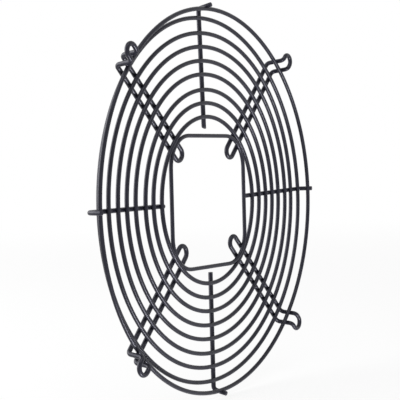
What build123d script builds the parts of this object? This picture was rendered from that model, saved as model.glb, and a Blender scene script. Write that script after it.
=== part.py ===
from build123d import *
from math import cos, radians, sqrt, tan
import os

# Welded wire fan guard: nine rings, four spokes, four looped arms and a middle frame.
# Everything is drawn lying flat, face down, with +Z towards the panel it is screwed to.
# The last step stands each piece upright: +Z up, the guard's face towards -Y,
# and the panel in the plane Y = 0. All sizes are millimetres.

# Wire
wire = 3.0                      # coated steel wire, one size throughout
wire_sides = 8                  # flats that stand for its round, so one lies on each layer
layer = wire                    # centre line to centre line where two wires lie crosswise
set_down = 0.15                 # how deep wires sink together where they meet side by side
end_chamfer = 0.3               # sheared ends of the spokes

# Rim ring, the largest one, which stands nearer the panel
rim_radius = 141.0
rim_rise = 5.8                  # above the flat rings

# Flat rings
flat_ring_count = 8
rim_step = 7.0                  # from the rim ring inwards to the largest of them
inner_ring_radius = 61.6        # smallest of them, round the motor

# Feet that hold the guard off its panel
foot_rise = 11.5                # centre line of a foot above the flat rings
foot_straight = 2.0             # between its upper bend and its round end
bend_radius = 3.2               # of every bend out of the flat

# Spokes
spoke_overhang = 7.8            # free inner end, beyond the smallest ring
leg_angle = 14                  # degrees that a leg leans outwards
leg_rise = 8.7                  # its free end above the flat rings

# Looped arms
motor_hole_spacing = 70.6       # side of the square on which the inner loops take the screws
loop_radius = 5.0               # the slot inside each loop takes an M5 or M6 screw
riser_angle = 8.7               # degrees that a riser leans outwards

# Middle frame round the motor
frame_corner = 23.6             # rounded corners, which lie against the smallest ring
frame_turn = -1.2               # degrees, it is welded on slightly turned

# Depths in the flat drawing, with the panel at zero
foot_depth = -wire / 2
ring_depth = foot_depth - foot_rise
rim_depth = ring_depth + rim_rise
spoke_depth = ring_depth - layer

# Where the bends lie, so that legs and risers lean against the outside of the rim ring
side_by_side = wire - set_down
rim_above_spokes = rim_rise + layer
leg_lean = tan(radians(leg_angle))
leg_foot = rim_radius + side_by_side / cos(radians(leg_angle)) - rim_above_spokes * leg_lean
leg_end = leg_foot + (leg_rise + layer) * leg_lean
rim_at_arm = sqrt(rim_radius**2 - loop_radius**2)
riser_lean = tan(radians(riser_angle))
riser_foot = rim_at_arm + side_by_side / cos(radians(riser_angle)) - rim_above_spokes * riser_lean
riser_top = riser_foot + (foot_rise + layer) * riser_lean

# Where the flat rings, the feet, the spokes and the inner loops lie, from the fan's axis
flat_ring_radius = rim_radius - rim_step
ring_pitch = (flat_ring_radius - inner_ring_radius) / (flat_ring_count - 1)
riser_bend = bend_radius * tan(radians(90 - riser_angle) / 2)
foot_reach = riser_top + riser_bend + foot_straight + loop_radius
spoke_start = inner_ring_radius - spoke_overhang
arm_start = motor_hole_spacing / sqrt(2) - loop_radius

# Half the middle frame's width, at which its corners lie against the smallest ring
frame_half = (inner_ring_radius - side_by_side + (sqrt(2) - 1) * frame_corner) / sqrt(2)

# From the flat drawing to the guard as it hangs
upright = Plane(origin=(0, 0, 0), x_dir=(-1, 0, 0), z_dir=(0, 1, 0))


def wire_section():
    """The wire's outline, drawn into the sketch that is open, with flats above and below."""
    RegularPolygon(
        radius=wire / 2,
        side_count=wire_sides,
        major_radius=False,
        rotation=90 - 180 / wire_sides,
    )


def start_plane(path):
    """The plane across the start of a path that sets out flat, with its own Y pointing up."""
    ahead = path % 0
    return Plane(origin=path @ 0, x_dir=Vector(0, 0, 1).cross(ahead), z_dir=ahead)


def wire_ring(radius, depth):
    """A round ring of wire."""
    with BuildPart() as ring:
        with BuildSketch(Plane.XZ):
            with Locations((radius, depth)):
                wire_section()
        revolve(axis=Axis.Z)
    return ring.part


def hand_over(piece, name):
    """Stands one piece of the flat drawing upright, labels it and writes its file."""
    with BuildPart() as placed:
        with Locations(upright.location):
            add(piece)
    placed.part.label = name
    export_step(placed.part, f"parts/{name}.step")


os.makedirs("parts", exist_ok=True)

# Rings, from the rim inwards
rings = [wire_ring(rim_radius, rim_depth)]
for number in range(flat_ring_count):
    rings.append(wire_ring(flat_ring_radius - number * ring_pitch, ring_depth))
rim_ring = rings[0]
inner_ring = rings[-1]

# Middle frame, with its corners seated against the smallest ring
with BuildPart() as motor_frame:
    with BuildLine(Plane.XY.offset(ring_depth)) as frame_path:
        FilletPolyline(
            (frame_half, frame_half),
            (-frame_half, frame_half),
            (-frame_half, -frame_half),
            (frame_half, -frame_half),
            radius=frame_corner,
            close=True,
        )
    with BuildSketch(start_plane(frame_path.line)):
        wire_section()
    sweep()
with BuildPart() as turned_frame:
    add(motor_frame.part, rotation=(0, 0, frame_turn))
    add(inner_ring, mode=Mode.SUBTRACT)

# Spoke along +X, with its leg bent towards the panel and seated against the rim ring
with BuildPart() as spoke:
    with BuildLine(Plane.XZ) as spoke_path:
        FilletPolyline(
            (spoke_start, spoke_depth),
            (leg_foot, spoke_depth),
            (leg_end, ring_depth + leg_rise),
            radius=bend_radius,
        )
    with BuildSketch(start_plane(spoke_path.line)):
        wire_section()
    sweep()
    chamfer(faces().sort_by(Axis.X)[0].edges(), length=end_chamfer)
    chamfer(faces().sort_by(Axis.Z)[-1].edges(), length=end_chamfer)
    add(rim_ring, mode=Mode.SUBTRACT)

# Arm along +X: half the inner loop, one wire outwards, its riser and half the foot, mirrored
with BuildPart() as arm:
    with BuildLine(Plane.XZ.offset(-loop_radius)) as arm_side:
        FilletPolyline(
            (arm_start + loop_radius, spoke_depth),
            (riser_foot, spoke_depth),
            (riser_top, foot_depth),
            (foot_reach - loop_radius, foot_depth),
            radius=bend_radius,
        )
    with BuildLine() as arm_path:
        TangentArc(
            (arm_start, 0, spoke_depth),
            (arm_start + loop_radius, loop_radius, spoke_depth),
            tangent=(0, 1, 0),
        )
        add(arm_side.line)
        TangentArc(
            (foot_reach - loop_radius, loop_radius, foot_depth),
            (foot_reach, 0, foot_depth),
            tangent=(1, 0, 0),
        )
    with BuildSketch(start_plane(arm_path.line)):
        wire_section()
    sweep(path=arm_path.line)
    mirror(about=Plane.XZ)
    add(rim_ring, mode=Mode.SUBTRACT)

# Write the rings and the middle frame
hand_over(rim_ring, "rim_ring")
for number, ring in enumerate(rings[1:], start=2):
    hand_over(ring, f"ring_{number}")
hand_over(turned_frame.part, "motor_frame")

# Write the spokes and arms, each kind turned into its four places
for angle, name in ((90, "top"), (180, "right"), (270, "bottom"), (0, "left")):
    with BuildPart() as turned_spoke:
        add(spoke.part, rotation=(0, 0, angle))
    hand_over(turned_spoke.part, f"spoke_{name}")
for angle, name in (
    (45, "upper_left"),
    (135, "upper_right"),
    (225, "lower_right"),
    (315, "lower_left"),
):
    with BuildPart() as turned_arm:
        add(arm.part, rotation=(0, 0, angle))
    hand_over(turned_arm.part, f"arm_{name}")
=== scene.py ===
"""Dresses the wire fan guard: round coated wire, weld beads, studio floor, lights and camera."""
import random
from math import acos, atan2, ceil, cos, pi, radians, sin, sqrt, tan

import bpy
import numpy as np
from mathutils import Matrix, Vector


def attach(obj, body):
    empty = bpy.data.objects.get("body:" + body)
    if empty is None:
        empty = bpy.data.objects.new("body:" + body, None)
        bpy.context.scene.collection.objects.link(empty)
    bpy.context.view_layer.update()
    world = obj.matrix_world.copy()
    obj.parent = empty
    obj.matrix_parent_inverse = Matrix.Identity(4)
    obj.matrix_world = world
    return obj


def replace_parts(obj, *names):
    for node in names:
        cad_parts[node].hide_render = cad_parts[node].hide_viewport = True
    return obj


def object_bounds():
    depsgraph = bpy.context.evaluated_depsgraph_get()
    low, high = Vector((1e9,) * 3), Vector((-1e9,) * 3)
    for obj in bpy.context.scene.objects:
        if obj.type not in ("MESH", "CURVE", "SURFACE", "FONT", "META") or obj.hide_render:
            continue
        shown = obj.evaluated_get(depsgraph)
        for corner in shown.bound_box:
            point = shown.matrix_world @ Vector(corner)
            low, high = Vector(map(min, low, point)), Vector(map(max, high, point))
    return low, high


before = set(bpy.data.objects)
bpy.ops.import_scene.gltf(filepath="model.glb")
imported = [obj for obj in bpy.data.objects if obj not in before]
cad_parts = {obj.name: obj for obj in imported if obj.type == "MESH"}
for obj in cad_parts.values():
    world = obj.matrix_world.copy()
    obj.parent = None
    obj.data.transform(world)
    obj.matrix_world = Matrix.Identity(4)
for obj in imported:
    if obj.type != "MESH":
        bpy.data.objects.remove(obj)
cad_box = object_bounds()

# Sizes in metres, the same as those of the CAD solids
MM = 0.001
WIRE = 3.0 * MM
RIM_RADIUS = 141.0 * MM
RIM_STEP = 7.0 * MM
FLAT_RING_COUNT = 8
FLAT_RING_RADIUS = RIM_RADIUS - RIM_STEP
INNER_RING_RADIUS = 61.6 * MM
RIM_RISE = 5.8 * MM
FOOT_RISE = 11.5 * MM
FOOT_STRAIGHT = 2.0 * MM
BEND_RADIUS = 3.2 * MM
SIDE_BY_SIDE = WIRE - 0.15 * MM
SPOKE_OVERHANG = 7.8 * MM
LEG_LEAN = tan(radians(14))
LEG_RISE = 8.7 * MM
LOOP_RADIUS = 5.0 * MM
LOOP_CENTRE = 70.6 * MM / sqrt(2)
RISER_ANGLE = 8.7
RISER_LEAN = tan(radians(RISER_ANGLE))
FRAME_CORNER = 23.6 * MM
FRAME_TURN = -1.2

# The photo shows the rings, and still more the spokes and arms, a little thicker than the solids
RING_RADIUS = 1.57 * MM
SPOKE_RADIUS = 1.72 * MM
FRAME_RADIUS = WIRE / 2

# Welding presses each ring into the spokes and arms that it crosses
WELD_SINK = 0.35 * MM

# Depths in the flat drawing, which has the panel at zero and +Z towards it
FOOT_DEPTH = -SPOKE_RADIUS
SPOKE_DEPTH = -(FOOT_RISE + 2 * WIRE) + SPOKE_RADIUS
RING_DEPTH = SPOKE_DEPTH + WIRE - WELD_SINK
RIM_DEPTH = RING_DEPTH + RIM_RISE
LEG_DEPTH = RING_DEPTH + LEG_RISE

# Where legs and risers bend, so that they lean against the outside of the rim ring
RING_PITCH = (FLAT_RING_RADIUS - INNER_RING_RADIUS) / (FLAT_RING_COUNT - 1)
RIM_ABOVE_SPOKES = RIM_DEPTH - SPOKE_DEPTH
LEG_FOOT = RIM_RADIUS + SIDE_BY_SIDE * sqrt(1 + LEG_LEAN**2) - RIM_ABOVE_SPOKES * LEG_LEAN
LEG_END = LEG_FOOT + (LEG_DEPTH - SPOKE_DEPTH) * LEG_LEAN
RIM_AT_ARM = sqrt(RIM_RADIUS**2 - LOOP_RADIUS**2)
RISER_FOOT = RIM_AT_ARM + SIDE_BY_SIDE * sqrt(1 + RISER_LEAN**2) - RIM_ABOVE_SPOKES * RISER_LEAN
RISER_TOP = RISER_FOOT + (FOOT_DEPTH - SPOKE_DEPTH) * RISER_LEAN
RISER_BEND = BEND_RADIUS * tan(radians(90 - RISER_ANGLE) / 2)
FOOT_CENTRE = RISER_TOP + RISER_BEND + FOOT_STRAIGHT
FRAME_HALF = (INNER_RING_RADIUS - SIDE_BY_SIDE + (sqrt(2) - 1) * FRAME_CORNER) / sqrt(2)

# How far each hand-welded wire of the photographed guard stands off, in millimetres.
# aside and up shift a ring in the flat drawing, wider adds to its radius, and oval and
# three_sided bend it out of round, as amounts along and between the drawing's axes.
RING_DRIFTS = {
    "rim_ring": dict(aside=0.65, up=-0.4, wider=0.2),
    "ring_2": dict(aside=0.15, up=-0.1, wider=0.35, oval=(0.35, -0.4), three_sided=(0.6, -0.3)),
    "ring_3": dict(aside=-0.1, up=0.05, wider=-0.35),
    "ring_4": dict(aside=0.15, up=0.15, wider=-0.1),
    "ring_5": dict(aside=-0.4, up=0.3, wider=-0.2),
    "ring_6": dict(aside=-0.35, up=0.4, wider=0.1),
    "ring_7": dict(aside=0.35, up=-0.05, wider=-0.35),
    "ring_8": dict(aside=-0.2, up=0.15),
    "ring_9": dict(aside=-0.3, up=0.3, wider=0.05),
}
# The rim ring also bows: it lies lower, leans towards its top and is saddle-shaped
RIM_BOW = dict(lower=0.45, lean_up=0.5, saddle=0.75)
# The middle frame is shifted and turned, and wider and taller add to half its size
FRAME_DRIFT = dict(aside=-0.5, up=-0.55, turn=-0.1, wider=0.75, taller=-0.05)
# Spokes and arms are shifted and turned across their length, by across and askew, which is
# how much further across a point lies 50 mm further out. start, leg, loop, riser and foot each
# move that place outwards, and tip moves only a leg's free end. rise makes a leg longer,
# loop_width adds to half a loop's width and foot_drop takes a foot away from the panel.
SPOKE_DRIFTS = {
    "left": dict(across=0.75, askew=0.55, start=-0.15, leg=-0.25),
    "top": dict(across=0.85, askew=0.75, start=0.1, leg=-0.5, tip=-0.5),
    "right": dict(across=0.0, askew=-0.75, start=2.4, leg=-0.5, tip=-0.3, rise=1.7),
    "bottom": dict(across=0.4, askew=-0.95, start=-0.15, leg=-0.4, tip=-0.5),
}
ARM_DRIFTS = {
    "upper_left": dict(across=0.4, askew=0.05, riser=0.0, foot=-1.1, loop_width=-0.2),
    "upper_right": dict(across=0.2, askew=0.35, loop=0.1, riser=0.2, foot=0.4, loop_width=-0.2),
    "lower_right": dict(
        across=0.25, askew=-0.45, loop=0.3, riser=0.55, foot=0.4, foot_drop=0.6, loop_width=0.25
    ),
    "lower_left": dict(
        across=0.65, askew=0.15, loop=-0.4, riser=0.85, foot=0.9, foot_drop=0.95, loop_width=-0.05
    ),
}
ASKEW_RADIUS = 98 * MM
ASKEW_LENGTH = 50 * MM

# How much the inner end of each spoke is cut askew, as a slope
INNER_CUTS = {"top": -0.6, "left": -0.1, "right": 0.15, "bottom": 0.05}

# Where spokes and arms lie, in degrees of the flat drawing
SPOKES = {"left": 0, "top": 90, "right": 180, "bottom": 270}
ARMS = {"upper_left": 45, "upper_right": 135, "lower_right": 225, "lower_left": 315}
CORNERS = ((1, 1), (-1, 1), (-1, -1), (1, -1))

# How finely the round wire is drawn
WIRE_SIDES = 20
ARC_STEP = radians(8)
RING_STEPS = 240
SHARP_ANGLE = radians(50)
SAME_PLACE = 1e-6

# Sheared ends: a bevel, and a finer one that rounds it off
END_BEVEL = 0.35 * MM
FINE_BEVEL = END_BEVEL * 0.3

# Spot welds: waisted beads between crossing wires. The lobes, in millimetres, make them uneven.
WELD_SIDES = 16
BEAD_LEVELS = 5
BEAD_WAIST = 1.25 * MM
BEAD_FLARE = 0.16 * MM
BEAD_HALF_HEIGHT = 0.75 * MM
BEAD_SIZES = (0.9, 1.08)
BEAD_LOBE = 0.06
BEAD_LOBE_COUNT = 3
ALONG_NO_WIRE = (0.31, 0.17, 0.93)

# Tapered seams between the middle frame's corners and the smallest ring
SEAM_STEPS = 12
SEAM_RADIUS = 0.95 * MM
SEAM_HALF_LENGTH = 6 * MM
SEAM_SIZES = (0.95, 1.05)
SEAM_FLATNESS = 1.3
SEAM_TIP = 0.02
CORNER_REACH = 30 * MM

# How closely the lines are searched for the places where wires cross
SEARCH_STEP = 0.25 * MM
SEARCH_MARGIN = 8 * MM

rough = random.Random(11)


def upright(points):
    """Turns points of the flat drawing, with +Z to the panel, into the hanging guard's frame."""
    points = np.asarray(points, float)
    return np.stack([-points[..., 0], points[..., 2], points[..., 1]], axis=-1)


def turned(points, degrees):
    """Turns points of the flat drawing about the fan's axis."""
    c, s = cos(radians(degrees)), sin(radians(degrees))
    points = np.asarray(points, float)
    x, y = points[..., 0] * c - points[..., 1] * s, points[..., 0] * s + points[..., 1] * c
    return np.stack([x, y, points[..., 2]], axis=-1)


def rounded(corners, radius, closed=False):
    """A line through the corners, each of them rounded with an arc of the given radius."""
    corners = [np.array(c, float) for c in corners]
    count = len(corners)
    line = []
    for i, corner in enumerate(corners):
        if not closed and i in (0, count - 1):
            line.append(corner)
            continue
        before = corners[i - 1] - corner
        after = corners[(i + 1) % count] - corner
        before /= np.linalg.norm(before)
        after /= np.linalg.norm(after)
        half_angle = acos(np.clip(np.dot(before, after), -1, 1)) / 2
        middle = before + after
        middle /= np.linalg.norm(middle)
        centre = corner + middle * radius / sin(half_angle)
        start = corner + before * radius / tan(half_angle) - centre
        end = corner + after * radius / tan(half_angle) - centre
        sweep = pi - 2 * half_angle
        steps = max(2, ceil(sweep / ARC_STEP))
        for k in range(steps + 1):
            a = sweep * k / steps
            line.append(centre + (start * sin(sweep - a) + end * sin(a)) / sin(sweep))
    return np.array(line)


def arc(centre, start, sweep):
    """Points of an arc in the flat, from a start offset about its centre."""
    x, y, depth = centre
    steps = ceil(abs(sweep) / ARC_STEP)
    base = atan2(start[1], start[0])
    reach = sqrt(start[0] ** 2 + start[1] ** 2)
    angles = [base + sweep * k / steps for k in range(steps + 1)]
    return np.array([(x + reach * cos(a), y + reach * sin(a), depth) for a in angles])


def set_askew(line, drift):
    """Shifts and turns a spoke or arm that runs along +X by its drift across."""
    line = np.array(line)
    lean = drift.get("askew", 0) * MM / ASKEW_LENGTH
    line[:, 1] += drift.get("across", 0) * MM + lean * (line[:, 0] - ASKEW_RADIUS)
    return line


def ring_line(node, number):
    """The centre line of a ring, counted from the rim ring inwards, with its drift."""
    drift = RING_DRIFTS[node]
    radius = RIM_RADIUS if number == 0 else FLAT_RING_RADIUS - (number - 1) * RING_PITCH
    a = np.arange(RING_STEPS) * 2 * pi / RING_STEPS
    oval = drift.get("oval", (0, 0))
    three_sided = drift.get("three_sided", (0, 0))
    waves = oval[0] * np.cos(2 * a) + oval[1] * np.sin(2 * a)
    waves += three_sided[0] * np.cos(3 * a) + three_sided[1] * np.sin(3 * a)
    reach = radius + (drift.get("wider", 0) + waves) * MM
    depth = np.full(RING_STEPS, RING_DEPTH)
    if number == 0:
        bow = -RIM_BOW["lower"] + RIM_BOW["lean_up"] * np.sin(a) + RIM_BOW["saddle"] * np.cos(2 * a)
        depth = RIM_DEPTH + bow * MM
    x = reach * np.cos(a) + drift.get("aside", 0) * MM
    y = reach * np.sin(a) + drift.get("up", 0) * MM
    return upright(np.stack([x, y, depth], axis=-1))


def frame_line():
    """The centre line of the middle frame."""
    half_width = FRAME_HALF + FRAME_DRIFT["wider"] * MM
    half_height = FRAME_HALF + FRAME_DRIFT["taller"] * MM
    corners = [(side * half_width, way * half_height, RING_DEPTH) for side, way in CORNERS]
    line = turned(rounded(corners, FRAME_CORNER, closed=True), FRAME_TURN + FRAME_DRIFT["turn"])
    return upright(line + np.array([FRAME_DRIFT["aside"] * MM, FRAME_DRIFT["up"] * MM, 0]))


def spoke_line(place):
    """The centre line of a spoke and its leg, from its free inner end outwards."""
    drift = SPOKE_DRIFTS[place]
    leg = drift["leg"] * MM
    rise = drift.get("rise", 0) * MM
    leg_end = LEG_END + leg + drift.get("tip", 0) * MM + rise * LEG_LEAN
    line = rounded(
        [
            (INNER_RING_RADIUS - SPOKE_OVERHANG + drift["start"] * MM, 0, SPOKE_DEPTH),
            (LEG_FOOT + leg, 0, SPOKE_DEPTH),
            (leg_end, 0, LEG_DEPTH + rise),
        ],
        BEND_RADIUS,
    )
    return upright(turned(set_askew(line, drift), SPOKES[place]))


def arm_lines(place):
    """An arm's two wires, then its closed centre line through both and round the loops."""
    drift = ARM_DRIFTS[place]
    half = LOOP_RADIUS + drift["loop_width"] * MM
    centre = LOOP_CENTRE + drift.get("loop", 0) * MM
    riser = drift["riser"] * MM
    foot_depth = FOOT_DEPTH - drift.get("foot_drop", 0) * MM
    riser_top = RISER_TOP + riser - (FOOT_DEPTH - foot_depth) * RISER_LEAN
    foot_centre = FOOT_CENTRE + drift["foot"] * MM + LOOP_RADIUS - half
    sides = [
        rounded(
            [
                (centre, side, SPOKE_DEPTH),
                (RISER_FOOT + riser, side, SPOKE_DEPTH),
                (riser_top, side, foot_depth),
                (foot_centre, side, foot_depth),
            ],
            BEND_RADIUS,
        )
        for side in (half, -half)
    ]
    outer_turn = arc((foot_centre, 0, foot_depth), (0, half), -pi)
    inner_turn = arc((centre, 0, SPOKE_DEPTH), (0, -half), -pi)
    whole = np.vstack([sides[0], outer_turn, sides[1][::-1], inner_turn])
    return [upright(turned(set_askew(line, drift), ARMS[place])) for line in (*sides, whole)]


def without_repeats(line, closed):
    """The line with points that fall on the one before left out."""
    keep = [0]
    for i in range(1, len(line)):
        if np.linalg.norm(line[i] - line[keep[-1]]) > SAME_PLACE:
            keep.append(i)
    line = line[keep]
    if closed and np.linalg.norm(line[0] - line[-1]) < SAME_PLACE:
        line = line[:-1]
    return line


def wire_rows(line, closed):
    """For each point of a line: the point, a direction across the wire and its tangent."""
    if closed:
        ahead = np.roll(line, -1, axis=0) - line
        behind = line - np.roll(line, 1, axis=0)
    else:
        ahead = np.vstack([line[1:] - line[:-1], line[-1:] - line[-2:-1]])
        behind = np.vstack([line[1:2] - line[:1], line[1:] - line[:-1]])
    ahead /= np.linalg.norm(ahead, axis=1, keepdims=True)
    behind /= np.linalg.norm(behind, axis=1, keepdims=True)
    tangents = ahead + behind
    tangents /= np.linalg.norm(tangents, axis=1, keepdims=True)
    side = np.array([0.0, 1.0, 0.0])
    if abs(np.dot(side, tangents[0])) > 0.9:
        side = np.array([1.0, 0.0, 0.0])
    rows = []
    for point, tangent in zip(line, tangents):
        side = side - tangent * np.dot(side, tangent)
        side /= np.linalg.norm(side)
        rows.append((point, side, tangent))
    return rows


def with_ends(rows, thick, shear):
    """The rows of an open wire with its ends rounded off, the first of them cut askew."""
    ends = ((thick - END_BEVEL, 0.0), (thick - FINE_BEVEL, FINE_BEVEL), (thick, END_BEVEL))
    (start, start_side, start_way, *_), *middle, (end, end_side, end_way, *_) = rows
    opening = [
        (start + start_way * inwards, start_side, start_way, radius, shear)
        for radius, inwards in ends
    ]
    closing = [
        (end - end_way * inwards, end_side, end_way, radius, 0.0)
        for radius, inwards in reversed(ends)
    ]
    return opening + middle + closing


def skin(faces, base, rows, sides, closed=False):
    """Joins rows of points, numbered from base on, with faces, and caps them at open ends."""
    for i in range(rows if closed else rows - 1):
        low = base + i * sides
        high = base + (i + 1) % rows * sides
        for k in range(sides):
            n = (k + 1) % sides
            faces.append((low + k, low + n, high + n, high + k))
    if not closed:
        last = base + (rows - 1) * sides
        faces.append(tuple(reversed(range(base, base + sides))))
        faces.append(tuple(range(last, last + sides)))


def new_piece(name, verts, faces):
    """A smooth-shaded mesh object, riding on the guard's one body."""
    mesh = bpy.data.meshes.new(name)
    mesh.from_pydata([tuple(v) for v in verts], [], faces)
    mesh.update()
    mesh.shade_smooth()
    mesh.set_sharp_from_angle(angle=SHARP_ANGLE)
    piece = bpy.data.objects.new(name, mesh)
    bpy.context.scene.collection.objects.link(piece)
    mesh.materials.append(coating)
    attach(piece, "root")
    return piece


def wire_piece(name, line, closed, thick, shear=0.0):
    """A round wire along a line. Open ends are rounded off, and the first may be cut askew."""
    line = without_repeats(np.asarray(line, float), closed)
    rows = [(point, side, tangent, thick, 0.0) for point, side, tangent in wire_rows(line, closed)]
    if not closed:
        rows = with_ends(rows, thick, shear)
    angles = np.arange(WIRE_SIDES) * 2 * pi / WIRE_SIDES
    verts = []
    for point, side, tangent, radius, skew in rows:
        other = np.cross(tangent, side)
        for a in angles:
            outwards = (side * cos(a) + other * sin(a)) * radius
            verts.append(point + outwards + tangent * skew * radius * sin(a))
    faces = []
    skin(faces, 0, len(rows), WIRE_SIDES, closed)
    return new_piece(name, verts, faces)


def spread(line, closed):
    """Points at small steps all along a line."""
    line = np.vstack([line, line[:1]]) if closed else line
    parts = [line[:1]]
    for start, end in zip(line[:-1], line[1:]):
        steps = max(1, ceil(np.linalg.norm(end - start) / SEARCH_STEP))
        parts.append(start + (end - start) * (np.arange(1, steps + 1) / steps)[:, None])
    return np.vstack(parts)


def nearest_points(points, others):
    """Where two lines of close points come nearest: a point on each."""
    low, high = others.min(axis=0) - SEARCH_MARGIN, others.max(axis=0) + SEARCH_MARGIN
    near = points[np.all((points > low) & (points < high), axis=1)]
    gaps = np.linalg.norm(near[:, None, :] - others[None, :, :], axis=2)
    i, k = np.unravel_index(np.argmin(gaps), gaps.shape)
    return near[i], others[k]


def add_bead(verts, faces, one, other):
    """A small waisted bead between two wires, its ends hidden in them."""
    axis = other - one
    axis /= np.linalg.norm(axis)
    side = np.cross(axis, ALONG_NO_WIRE)
    side /= np.linalg.norm(side)
    across = np.cross(axis, side)
    middle = (one + other) / 2
    size = rough.uniform(*BEAD_SIZES)
    lobes = [rough.uniform(-BEAD_LOBE, BEAD_LOBE) * MM for _ in range(BEAD_LOBE_COUNT)]
    base = len(verts)
    for level in range(BEAD_LEVELS):
        height = (2 * level / (BEAD_LEVELS - 1) - 1) * BEAD_HALF_HEIGHT
        waist = BEAD_WAIST + BEAD_FLARE * (height / BEAD_HALF_HEIGHT) ** 2
        for k in range(WELD_SIDES):
            a = 2 * pi * k / WELD_SIDES
            bulge = lobes[0] * cos(a) + lobes[1] * sin(2 * a) + lobes[2] * cos(3 * a)
            reach = waist * size + bulge
            verts.append(middle + axis * height + (side * cos(a) + across * sin(a)) * reach)
    skin(faces, base, BEAD_LEVELS, WELD_SIDES)


def add_seam(verts, faces, inner, outer):
    """A tapered seam that fills the groove where the frame's corner lies along its ring."""
    one, other = nearest_points(inner, outer)
    inner_at = int(np.argmin(np.linalg.norm(inner - one, axis=1)))
    outer_at = int(np.argmin(np.linalg.norm(outer - other, axis=1)))
    reach = int(SEAM_HALF_LENGTH / np.linalg.norm(inner[1] - inner[0]))
    nearby = outer[np.arange(outer_at - 3 * reach, outer_at + 3 * reach) % len(outer)]
    normal = np.array([0.0, 1.0, 0.0])
    base = len(verts)
    for k in range(SEAM_STEPS + 1):
        share = 2 * k / SEAM_STEPS - 1
        here = inner[(inner_at + int(share * reach)) % len(inner)]
        there = nearby[np.argmin(np.linalg.norm(nearby - here, axis=1))]
        middle = (here + there) / 2
        across = there - here
        across /= np.linalg.norm(across)
        taper = sqrt(max(SEAM_TIP, 1 - share**2))
        radius = SEAM_RADIUS * taper * rough.uniform(*SEAM_SIZES)
        for m in range(WELD_SIDES):
            a = 2 * pi * m / WELD_SIDES
            verts.append(middle + (across * cos(a) * SEAM_FLATNESS + normal * sin(a)) * radius)
    skin(faces, base, SEAM_STEPS + 1, WELD_SIDES)


def coating_material():
    """Black baked-on coating: semi-gloss, with a fine orange peel and slightly uneven gloss."""
    material = bpy.data.materials.new("black_wire_coating")
    material.use_nodes = True
    nodes, links = material.node_tree.nodes, material.node_tree.links
    shader = nodes["Principled BSDF"]
    place = nodes.new("ShaderNodeTexCoord")

    def noise(scale, detail, roughness=0.5):
        node = nodes.new("ShaderNodeTexNoise")
        node.inputs["Scale"].default_value = scale
        node.inputs["Detail"].default_value = detail
        node.inputs["Roughness"].default_value = roughness
        links.new(place.outputs["Object"], node.inputs["Vector"])
        return node.outputs["Fac"]

    def ramp(source, low, high, dark, light):
        node = nodes.new("ShaderNodeValToRGB")
        node.color_ramp.elements[0].position = low
        node.color_ramp.elements[1].position = high
        node.color_ramp.elements[0].color = (*dark, 1)
        node.color_ramp.elements[1].color = (*light, 1)
        links.new(source, node.inputs["Fac"])
        return node.outputs["Color"]

    def bump(source, strength, distance):
        node = nodes.new("ShaderNodeBump")
        node.inputs["Strength"].default_value = strength
        node.inputs["Distance"].default_value = distance
        links.new(source, node.inputs["Height"])
        return node

    # Near black with a blue tint, and single specks of paler dust
    colour = ramp(noise(90, 4), 0.35, 0.7, (0.007, 0.007, 0.011), (0.012, 0.012, 0.018))
    specks = ramp(noise(700, 6, 0.7), 0.60, 0.74, (0, 0, 0), (1, 1, 1))
    dust = nodes.new("ShaderNodeMath")
    dust.operation = "MULTIPLY"
    dust.inputs[1].default_value = 0.2
    mix = nodes.new("ShaderNodeMix")
    mix.data_type = "RGBA"
    mix.inputs[7].default_value = (0.05, 0.05, 0.06, 1)
    links.new(specks, dust.inputs[0])
    links.new(dust.outputs[0], mix.inputs[0])
    links.new(colour, mix.inputs[6])
    links.new(mix.outputs[2], shader.inputs["Base Color"])

    # Uneven gloss, kept low because the wires stand in white surroundings
    gloss = ramp(noise(160, 5, 0.6), 0.3, 0.75, (0.25, 0.25, 0.25), (0.37, 0.37, 0.37))
    links.new(gloss, shader.inputs["Roughness"])
    shader.inputs["Specular IOR Level"].default_value = 0.25
    shader.inputs["Specular Tint"].default_value = (0.86, 0.86, 1.0, 1)

    # Orange peel over a wider ripple
    peel = bump(noise(1300, 3), 0.1, 0.00008)
    ripple = bump(noise(260, 2), 0.15, 0.0002)
    links.new(peel.outputs["Normal"], ripple.inputs["Normal"])
    links.new(ripple.outputs["Normal"], shader.inputs["Normal"])
    return material


coating = coating_material()

# Rings
ring_points = {}
for number in range(FLAT_RING_COUNT + 1):
    node = "rim_ring" if number == 0 else f"ring_{number + 1}"
    line = ring_line(node, number)
    ring_points[node] = spread(line, closed=True)
    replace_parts(wire_piece(f"round_{node}", line, True, RING_RADIUS), node)

# Middle frame
middle_line = frame_line()
frame_points = spread(middle_line, closed=True)
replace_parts(wire_piece("round_motor_frame", middle_line, True, FRAME_RADIUS), "motor_frame")

# Spokes, with their welds to the rings
for place in SPOKES:
    line = spoke_line(place)
    piece = wire_piece(f"round_spoke_{place}", line, False, SPOKE_RADIUS, INNER_CUTS[place])
    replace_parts(piece, f"spoke_{place}")
    points = spread(line, closed=False)
    verts, faces = [], []
    for ring in ring_points.values():
        add_bead(verts, faces, *nearest_points(ring, points))
    new_piece(f"welds_spoke_{place}", verts, faces)

# Arms, with their welds to the rings and the middle frame
for place in ARMS:
    *sides, whole = arm_lines(place)
    piece = wire_piece(f"round_arm_{place}", whole, True, SPOKE_RADIUS)
    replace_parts(piece, f"arm_{place}")
    verts, faces = [], []
    for side in sides:
        points = spread(side, closed=False)
        for crossed in (*ring_points.values(), frame_points):
            add_bead(verts, faces, *nearest_points(crossed, points))
    new_piece(f"welds_arm_{place}", verts, faces)

# Seams that join the middle frame's corners to the smallest ring
verts, faces = [], []
inner_points = ring_points["ring_9"]
for side, way in CORNERS:
    sideways = inner_points[:, 0] * side > CORNER_REACH
    upwards = inner_points[:, 2] * way > CORNER_REACH
    add_seam(verts, faces, frame_points, inner_points[sideways & upwards])
new_piece("welds_motor_frame", verts, faces)

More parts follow.
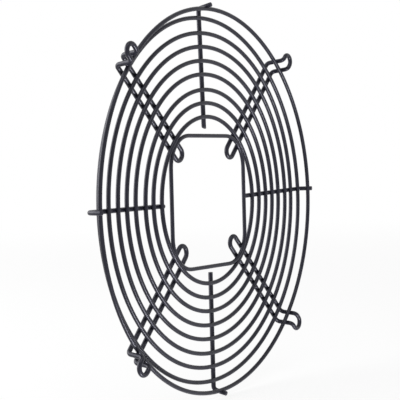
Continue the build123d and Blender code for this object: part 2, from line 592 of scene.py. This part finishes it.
# The paper on the floor: how white it is near the guard, and where it fades into pure white
WHITE_SHARE = 0.85
PAPER_GREY = 0.86
FLOOR_REACH = 6.0
FADE_START = 0.5
FADE_END = 2.0

# White surroundings as seen and reflected, which light the guard only softly
SEEN_WHITE = 1.0
WORLD_LIGHT = 0.4


def seen_directly(nodes, links):
    """A node output that is 1 for camera, glossy and transmission rays and 0 for the others."""
    path = nodes.new("ShaderNodeLightPath")
    found = path.outputs["Is Camera Ray"]
    for kind in ("Is Glossy Ray", "Is Transmission Ray"):
        larger = nodes.new("ShaderNodeMath")
        larger.operation = "MAXIMUM"
        links.new(found, larger.inputs[0])
        links.new(path.outputs[kind], larger.inputs[1])
        found = larger.outputs[0]
    return found


def paper_material():
    """White paper that takes a soft shadow near the guard and fades into the white backdrop."""
    paper = bpy.data.materials.new("studio_paper")
    paper.use_nodes = True
    nodes, links = paper.node_tree.nodes, paper.node_tree.links
    nodes.remove(nodes["Principled BSDF"])
    diffuse = nodes.new("ShaderNodeBsdfDiffuse")
    diffuse.inputs["Color"].default_value = (PAPER_GREY, PAPER_GREY, PAPER_GREY, 1)
    glow = nodes.new("ShaderNodeEmission")
    place = nodes.new("ShaderNodeTexCoord")
    away = nodes.new("ShaderNodeVectorMath")
    away.operation = "LENGTH"
    links.new(place.outputs["Object"], away.inputs[0])
    fade = nodes.new("ShaderNodeMapRange")
    fade.interpolation_type = "SMOOTHSTEP"
    fade.inputs["From Min"].default_value = FADE_START
    fade.inputs["From Max"].default_value = FADE_END
    fade.inputs["To Min"].default_value = WHITE_SHARE
    fade.inputs["To Max"].default_value = 1.0
    links.new(away.outputs["Value"], fade.inputs["Value"])
    share = nodes.new("ShaderNodeMath")
    share.operation = "MULTIPLY"
    links.new(seen_directly(nodes, links), share.inputs[0])
    links.new(fade.outputs[0], share.inputs[1])
    blend = nodes.new("ShaderNodeMixShader")
    links.new(share.outputs[0], blend.inputs[0])
    links.new(diffuse.outputs[0], blend.inputs[1])
    links.new(glow.outputs[0], blend.inputs[2])
    links.new(blend.outputs[0], nodes["Material Output"].inputs["Surface"])
    return paper


def add_floor():
    """The paper floor under the guard. It casts no shadow, so that a lamp can shine through it."""
    height = cad_box[0][2]
    corners = [(side * FLOOR_REACH, way * FLOOR_REACH, height) for side, way in CORNERS]
    mesh = bpy.data.meshes.new("studio_floor")
    mesh.from_pydata(corners, [], [(0, 1, 2, 3)])
    mesh.materials.append(paper_material())
    floor = bpy.data.objects.new("studio_floor", mesh)
    bpy.context.scene.collection.objects.link(floor)
    floor.visible_shadow = False


def add_world():
    """The world: white to the camera and in reflections, soft grey as a light."""
    world = bpy.data.worlds.new("studio")
    bpy.context.scene.world = world
    world.use_nodes = True
    nodes, links = world.node_tree.nodes, world.node_tree.links
    background = nodes["Background"]
    background.inputs["Color"].default_value = (1, 1, 1, 1)
    level = nodes.new("ShaderNodeMapRange")
    level.inputs["To Min"].default_value = WORLD_LIGHT
    level.inputs["To Max"].default_value = SEEN_WHITE
    links.new(seen_directly(nodes, links), level.inputs["Value"])
    links.new(level.outputs[0], background.inputs["Strength"])


add_floor()
add_world()

# Camera, from a fit of the rings, spokes and arms to the photograph, made in ring radii
FIT_UNIT = 134.0 * MM
CAMERA_AZIMUTH = radians(-56.77)
CAMERA_ELEVATION = radians(2.77)
CAMERA_ROLL = radians(-2.20)
CAMERA_DISTANCE = 6.885 * FIT_UNIT
CENTRE_PIXEL = (209.78, 200.40)
FOCAL_PIXELS = 1244.5
FRAME_PIXELS = 400.0
SENSOR = 36.0
CLIP_START = 0.01
CLIP_END = 50


def flat_direction(x, y, z):
    """A direction of the flat drawing as seen from the panel, in the hanging guard's frame."""
    return Vector((-x, z, y))


def camera_directions():
    """The camera's right, up and back, in the flat drawing as seen from the panel."""
    back = Vector(
        (
            sin(CAMERA_AZIMUTH) * cos(CAMERA_ELEVATION),
            sin(CAMERA_ELEVATION),
            cos(CAMERA_AZIMUTH) * cos(CAMERA_ELEVATION),
        )
    )
    level_right = Vector((0, 1, 0)).cross(back).normalized()
    level_up = back.cross(level_right)
    right = cos(CAMERA_ROLL) * level_right + sin(CAMERA_ROLL) * level_up
    up = cos(CAMERA_ROLL) * level_up - sin(CAMERA_ROLL) * level_right
    return right, up, back


def add_camera(right, up, back):
    """The camera that took the photograph."""
    off_right = (CENTRE_PIXEL[0] - FRAME_PIXELS / 2) / FOCAL_PIXELS * CAMERA_DISTANCE
    off_up = -(CENTRE_PIXEL[1] - FRAME_PIXELS / 2) / FOCAL_PIXELS * CAMERA_DISTANCE
    place = back * CAMERA_DISTANCE - right * off_right - up * off_up
    spot = flat_direction(*place) + Vector((0, RING_DEPTH, 0))
    axes = [flat_direction(*way) for way in (right, up, back)]
    turn = Matrix([[axis[i] for axis in axes] for i in range(3)]).to_4x4()
    data = bpy.data.cameras.new("photo_camera")
    data.sensor_width = SENSOR
    data.lens = FOCAL_PIXELS / FRAME_PIXELS * SENSOR
    data.clip_start = CLIP_START
    data.clip_end = CLIP_END
    camera = bpy.data.objects.new("photo_camera", data)
    camera.matrix_world = Matrix.Translation(spot) @ turn
    bpy.context.scene.collection.objects.link(camera)
    bpy.context.scene.camera = camera


directions = camera_directions()
add_camera(*directions)
camera_right, camera_up, camera_back = (flat_direction(*way) for way in directions)


def soft_lamp(name, right, up, back, distance, width, height, power):
    """A large soft lamp aimed at the guard's middle, from a side as the camera sees it."""
    data = bpy.data.lights.new(name, "AREA")
    data.shape = "ELLIPSE"
    data.size = width
    data.size_y = height
    data.energy = power
    lamp = bpy.data.objects.new(name, data)
    way = (camera_right * right + camera_up * up + camera_back * back).normalized()
    lamp.location = way * distance
    lamp.rotation_euler = way.to_track_quat("Z", "Y").to_euler()
    lamp.visible_camera = False
    bpy.context.scene.collection.objects.link(lamp)


soft_lamp("left_softbox", -1.0, 0.3, 0.0, distance=1.6, width=1.9, height=1.9, power=45)
soft_lamp("top_softbox", 0.1, 1.0, 0.5, distance=1.6, width=1.0, height=1.0, power=8)

# This lamp shines up through the paper, as in a light table, and draws the bright streaks
# along the wires that run down to the right in the photo
soft_lamp("table_lamp", 0.42, -0.85, 0.33, distance=1.3, width=0.6, height=0.24, power=29)

bpy.context.scene.view_settings.view_transform = "Standard"
